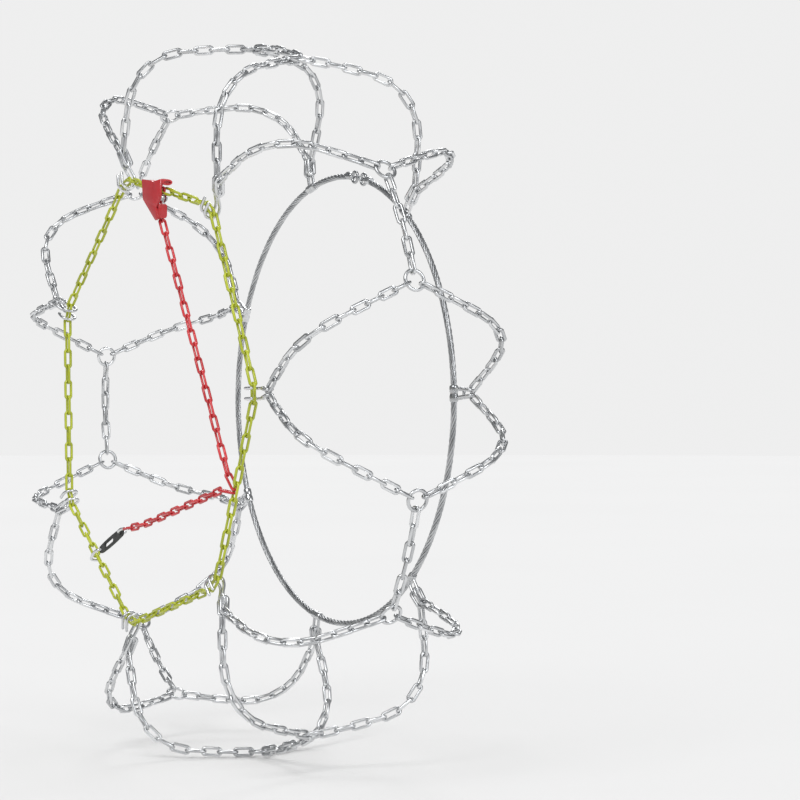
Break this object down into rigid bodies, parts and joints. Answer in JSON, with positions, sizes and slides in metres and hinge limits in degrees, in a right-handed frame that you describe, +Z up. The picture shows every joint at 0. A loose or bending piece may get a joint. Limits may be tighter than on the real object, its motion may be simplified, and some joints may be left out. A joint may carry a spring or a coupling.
{
  "type": "tire snow chains",
  "caption": "Diamond-pattern snow chain as it lies on a car wheel: zinc cross chains, yellow side chain, red tensioner and tail chain, inner cable.",
  "frame": {"origin": "the centre of the wheel that the chain is fitted on, in the mid plane of the tyre", "axes": "+Z up, Y along the wheel axle with -Y the outer side that carries the side chain and the tensioner, X along the tread"},
  "size_m": [0.7053, 0.234, 0.7128],
  "materials": {
    "zinc_steel": "bright zinc plating on hardened steel wire",
    "yellow_paint": "yellow-green paint on steel chain, semi gloss",
    "red_paint": "red paint on steel, semi gloss",
    "bright_steel": "plated steel, satin",
    "cable_steel": "galvanised stranded cable with pressed ferrules",
    "strap_rubber": "matt dark grey rubber"
  },
  "bodies": {
    "net": {"anchor_pin": "bright_steel", "inner_cable_hoop": "cable_steel", "inner_cross_chain_1": "zinc_steel", "inner_cross_chain_2": "zinc_steel", "inner_cross_chain_3": "zinc_steel", "inner_cross_chain_4": "zinc_steel", "inner_cross_chain_5": "zinc_steel", "inner_cross_chain_6": "zinc_steel", "inner_cross_chain_7": "zinc_steel", "outer_cross_chain_1": "zinc_steel", "outer_cross_chain_2": "zinc_steel", "outer_cross_chain_3": "zinc_steel", "outer_cross_chain_4": "zinc_steel", "outer_cross_chain_5": "zinc_steel", "outer_cross_chain_6": "zinc_steel", "outer_cross_chain_7": "zinc_steel", "outer_hook_1": "zinc_steel", "outer_hook_2": "zinc_steel", "outer_hook_3": "zinc_steel", "outer_hook_4": "zinc_steel", "outer_hook_5": "zinc_steel", "outer_hook_6": "zinc_steel", "outer_hook_7": "zinc_steel", "pawl_pin": "bright_steel", "pawl_spring": "bright_steel", "roller_pin": "bright_steel", "side_chain": "yellow_paint", "tension_chain": "red_paint", "tensioner_housing": "red_paint", "tread_chain_1": "zinc_steel", "tread_chain_2": "zinc_steel", "tread_chain_3": "zinc_steel", "tread_chain_4": "zinc_steel", "tread_chain_5": "zinc_steel", "tread_chain_6": "zinc_steel", "tread_chain_7": "zinc_steel"},
    "coupling_hook": {"cable_coupling_hook": "bright_steel"},
    "roller": {"chain_roller": "bright_steel"},
    "pawl": {"locking_pawl": "bright_steel"},
    "tail": {"tail_chain": "red_paint", "strap_swivel_hook": "bright_steel"},
    "strap": {"rubber_strap": "strap_rubber"},
    "strap_tip": {"strap_end_hook": "bright_steel"},
    "ring_1": {"tread_ring_1": "zinc_steel"},
    "ring_2": {"tread_ring_2": "zinc_steel"},
    "ring_3": {"tread_ring_3": "zinc_steel"},
    "ring_4": {"tread_ring_4": "zinc_steel"},
    "ring_5": {"tread_ring_5": "zinc_steel"},
    "ring_6": {"tread_ring_6": "zinc_steel"},
    "ring_7": {"tread_ring_7": "zinc_steel"},
    "ring_8": {"tread_ring_8": "zinc_steel"},
    "ring_9": {"tread_ring_9": "zinc_steel"},
    "ring_10": {"tread_ring_10": "zinc_steel"},
    "ring_11": {"tread_ring_11": "zinc_steel"},
    "ring_12": {"tread_ring_12": "zinc_steel"},
    "ring_13": {"tread_ring_13": "zinc_steel"},
    "ring_14": {"tread_ring_14": "zinc_steel"}
  },
  "joints": [
    {"name": "cable_hook_swing", "type": "hinge", "parent": "net", "child": "coupling_hook", "pos_m": [0.03633, 0.1058, 0.22658], "axis": [0, 0, 1], "range_deg": [0, 50]},
    {"name": "chain_roller_spin", "type": "hinge", "parent": "net", "child": "roller", "pos_m": [0.03785, -0.1122, 0.1971], "axis": [0, 1, 0], "continuous": true},
    {"name": "pawl_turn", "type": "hinge", "parent": "net", "child": "pawl", "pos_m": [0.01744, -0.1122, 0.20109], "axis": [0, -1, 0], "range_deg": [0, 20], "stiffness_Nm_per_rad": 0.05},
    {"name": "tail_swing", "type": "hinge", "parent": "net", "child": "tail", "pos_m": [0.18842, -0.1122, -0.08473], "axis": [0, 0, 1], "range_deg": [0, 150]},
    {"name": "strap_swing", "type": "hinge", "parent": "tail", "child": "strap", "pos_m": [-0.05446, -0.1122, -0.13284], "axis": [0, 0, 1], "range_deg": [0, 25]},
    {"name": "strap_stretch", "type": "slide", "parent": "strap", "child": "strap_tip", "axis": [-0.9272, 0, -0.3746], "range_m": [0, 0.015], "stiffness_N_per_m": 500, "deforming": ["rubber_strap"]},
    {"name": "tread_ring_1_spin", "type": "hinge", "parent": "net", "child": "ring_1", "pos_m": [0.3404, 0, -0.08962], "axis": [0.967, 0, -0.2546], "continuous": true},
    {"name": "tread_ring_2_spin", "type": "hinge", "parent": "net", "child": "ring_2", "pos_m": [0.33524, 0, 0.10731], "axis": [0.9524, 0, 0.3049], "continuous": true},
    {"name": "tread_ring_3_spin", "type": "hinge", "parent": "net", "child": "ring_3", "pos_m": [0.2823, 0, 0.21026], "axis": [0.802, 0, 0.5973], "continuous": true},
    {"name": "tread_ring_4_spin", "type": "hinge", "parent": "net", "child": "ring_4", "pos_m": [0.12512, 0, 0.32901], "axis": [0.3555, 0, 0.9347], "continuous": true},
    {"name": "tread_ring_5_spin", "type": "hinge", "parent": "net", "child": "ring_5", "pos_m": [0.01163, 0, 0.35181], "axis": [0.033, 0, 0.9995], "continuous": true},
    {"name": "tread_ring_6_spin", "type": "hinge", "parent": "net", "child": "ring_6", "pos_m": [-0.17922, 0, 0.30296], "axis": [-0.5091, 0, 0.8607], "continuous": true},
    {"name": "tread_ring_7_spin", "type": "hinge", "parent": "net", "child": "ring_7", "pos_m": [-0.26781, 0, 0.22844], "axis": [-0.7608, 0, 0.649], "continuous": true},
    {"name": "tread_ring_8_spin", "type": "hinge", "parent": "net", "child": "ring_8", "pos_m": [-0.3486, 0, 0.04877], "axis": [-0.9904, 0, 0.1386], "continuous": true},
    {"name": "tread_ring_9_spin", "type": "hinge", "parent": "net", "child": "ring_9", "pos_m": [-0.34558, 0, -0.06695], "axis": [-0.9817, 0, -0.1902], "continuous": true},
    {"name": "tread_ring_10_spin", "type": "hinge", "parent": "net", "child": "ring_10", "pos_m": [-0.25548, 0, -0.24214], "axis": [-0.7258, 0, -0.6879], "continuous": true},
    {"name": "tread_ring_11_spin", "type": "hinge", "parent": "net", "child": "ring_11", "pos_m": [-0.16312, 0, -0.31192], "axis": [-0.4634, 0, -0.8861], "continuous": true},
    {"name": "tread_ring_12_spin", "type": "hinge", "parent": "net", "child": "ring_12", "pos_m": [0.03002, 0, -0.35072], "axis": [0.0853, 0, -0.9964], "continuous": true},
    {"name": "tread_ring_13_spin", "type": "hinge", "parent": "net", "child": "ring_13", "pos_m": [0.14217, 0, -0.32201], "axis": [0.4039, 0, -0.9148], "continuous": true},
    {"name": "tread_ring_14_spin", "type": "hinge", "parent": "net", "child": "ring_14", "pos_m": [0.29292, 0, -0.1952], "axis": [0.8322, 0, -0.5545], "continuous": true}
  ]
}
